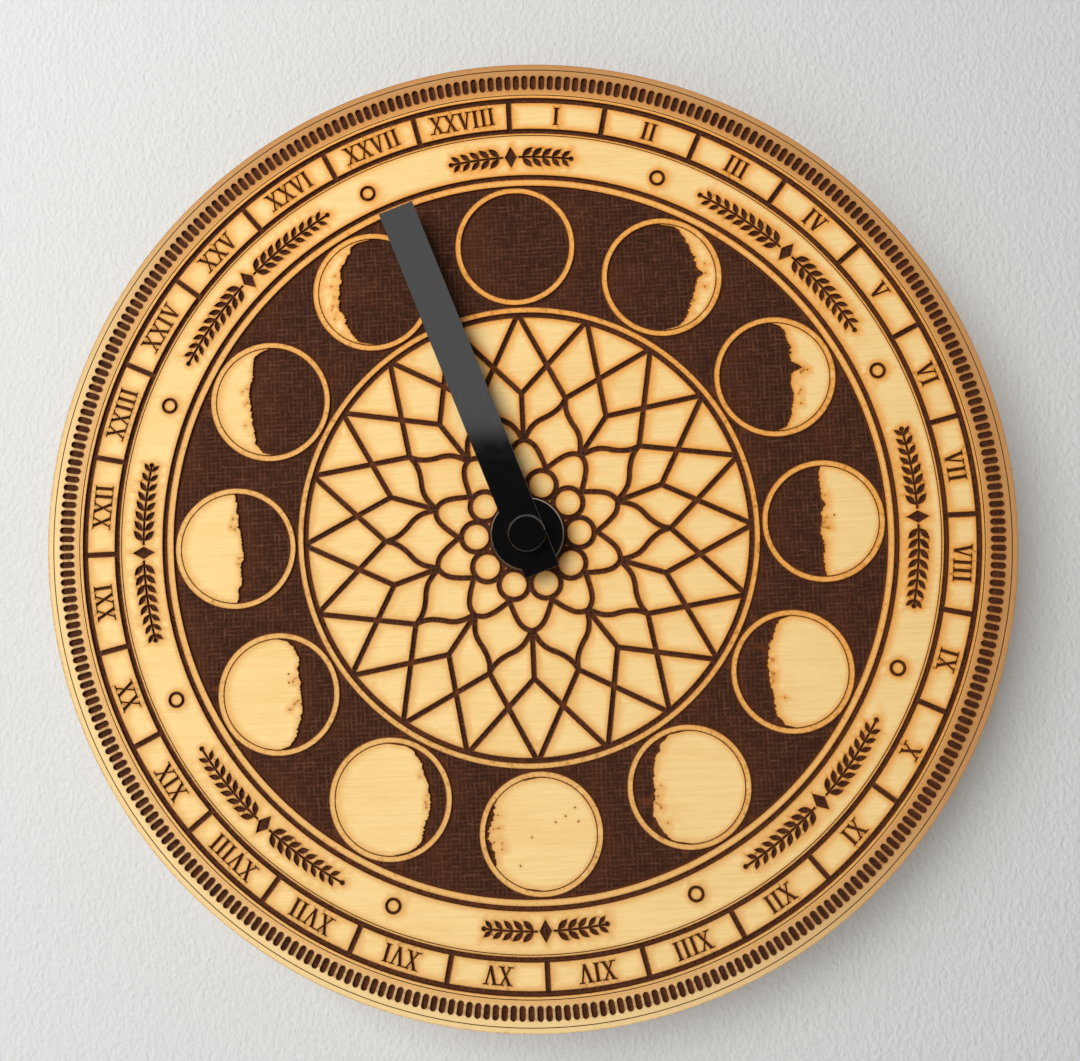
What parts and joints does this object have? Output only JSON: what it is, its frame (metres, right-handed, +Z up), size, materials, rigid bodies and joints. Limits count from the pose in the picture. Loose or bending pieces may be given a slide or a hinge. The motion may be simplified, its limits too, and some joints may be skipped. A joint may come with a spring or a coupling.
{
  "type": "moon phase wall clock",
  "caption": "Round engraved plywood wall clock: moon pictures, day cells and a flower pattern, with one black hand on a quartz movement.",
  "frame": {"origin": "centre of the hanging eye, in the plane of the wall", "axes": "+Y into the wall along the nail, +Z up, dial facing -Y, arbor 33 mm below the eye"},
  "size_m": [0.25, 0.0298, 0.25],
  "materials": {
    "birch_ply": "pale birch plywood, laser engraved to dark brown, scorched amber edges",
    "hand_black": "gloss black lacquer on sheet aluminium",
    "cap_black": "gloss black moulded",
    "brass_parts": "turned brass",
    "bright_steel": "bright steel strip",
    "gasket_rubber": "matt rubber",
    "case_plastic": "fine spark-textured black plastic",
    "gear_plastic": "natural acetal",
    "copper_wire": "enamelled copper wire",
    "board_green": "solder-masked board",
    "knob_plastic": "fluted black plastic",
    "cell_sleeve": "plain printed sleeve with bright end caps"
  },
  "bodies": {
    "clock_body": {"dial_plate": "birch_ply", "hex_nut": "brass_parts", "flat_washer": "brass_parts", "rubber_gasket": "gasket_rubber", "threaded_bush": "brass_parts", "front_case": "case_plastic", "rear_cover": "case_plastic", "train_bridge": "gear_plastic", "stator": "bright_steel", "coil_core": "bright_steel", "coil_bobbin": "gear_plastic", "coil_winding": "copper_wire", "circuit_board": "board_green", "driver_chip": "cap_black", "quartz_crystal": "bright_steel", "battery_cell": "cell_sleeve", "positive_contact": "bright_steel", "negative_contact": "bright_steel"},
    "hand_set": {"moon_hand": "hand_black", "hub_plate": "hand_black", "hand_collet": "bright_steel", "centre_cap": "cap_black", "moon_wheel": "gear_plastic"},
    "clutch_shaft": {"clutch_arbor": "bright_steel", "clutch_spring": "brass_parts"},
    "setting_shaft": {"setting_arbor": "gear_plastic", "setting_knob": "knob_plastic"},
    "rotor": {"rotor_pinion": "gear_plastic", "rotor_magnet": "bright_steel"},
    "first_gear": {"first_wheel": "gear_plastic"},
    "second_gear": {"second_wheel": "gear_plastic"},
    "third_gear": {"third_wheel": "gear_plastic"},
    "clutch_gear": {"clutch_wheel": "gear_plastic"}
  },
  "joints": [
    {"name": "moon_hand_turn", "type": "hinge", "parent": "clock_body", "child": "hand_set", "pos_m": [0, 0, -0.033], "axis": [0, 1, 0], "continuous": true},
    {"name": "clutch_shaft_turn", "type": "hinge", "parent": "clock_body", "child": "clutch_shaft", "pos_m": [0.00901, 0, -0.0278], "axis": [0, 1, 0], "continuous": true},
    {"name": "setting_knob_turn", "type": "hinge", "parent": "clock_body", "child": "setting_shaft", "pos_m": [-0.01119, 0, -0.03497], "axis": [0, 1, 0], "continuous": true},
    {"name": "rotor_turn", "type": "hinge", "parent": "clock_body", "child": "rotor", "pos_m": [-0.0154, 0, -0.02369], "axis": [0, 1, 0], "continuous": true},
    {"name": "first_wheel_turn", "type": "hinge", "parent": "clock_body", "child": "first_gear", "pos_m": [-0.00824, 0, -0.021], "axis": [0, 1, 0], "continuous": true},
    {"name": "second_wheel_turn", "type": "hinge", "parent": "clock_body", "child": "second_gear", "pos_m": [-0.00063, 0, -0.01823], "axis": [0, 1, 0], "continuous": true},
    {"name": "third_wheel_turn", "type": "hinge", "parent": "clock_body", "child": "third_gear", "pos_m": [0.00744, 0, -0.01894], "axis": [0, 1, 0], "continuous": true},
    {"name": "clutch_wheel_turn", "type": "hinge", "parent": "clock_body", "child": "clutch_gear", "pos_m": [0.00901, 0, -0.0278], "axis": [0, 1, 0], "continuous": true}
  ],
  "couplings": [
    {"joint": "clutch_shaft_turn", "follows": "moon_hand_turn", "ratio": -9.8333},
    {"joint": "setting_knob_turn", "follows": "moon_hand_turn", "ratio": -4.9167},
    {"joint": "first_wheel_turn", "follows": "rotor_turn", "ratio": -0.13333},
    {"joint": "second_wheel_turn", "follows": "rotor_turn", "ratio": 0.016667},
    {"joint": "third_wheel_turn", "follows": "rotor_turn", "ratio": -0.0020833},
    {"joint": "clutch_wheel_turn", "follows": "rotor_turn", "ratio": 0.00023148}
  ]
}
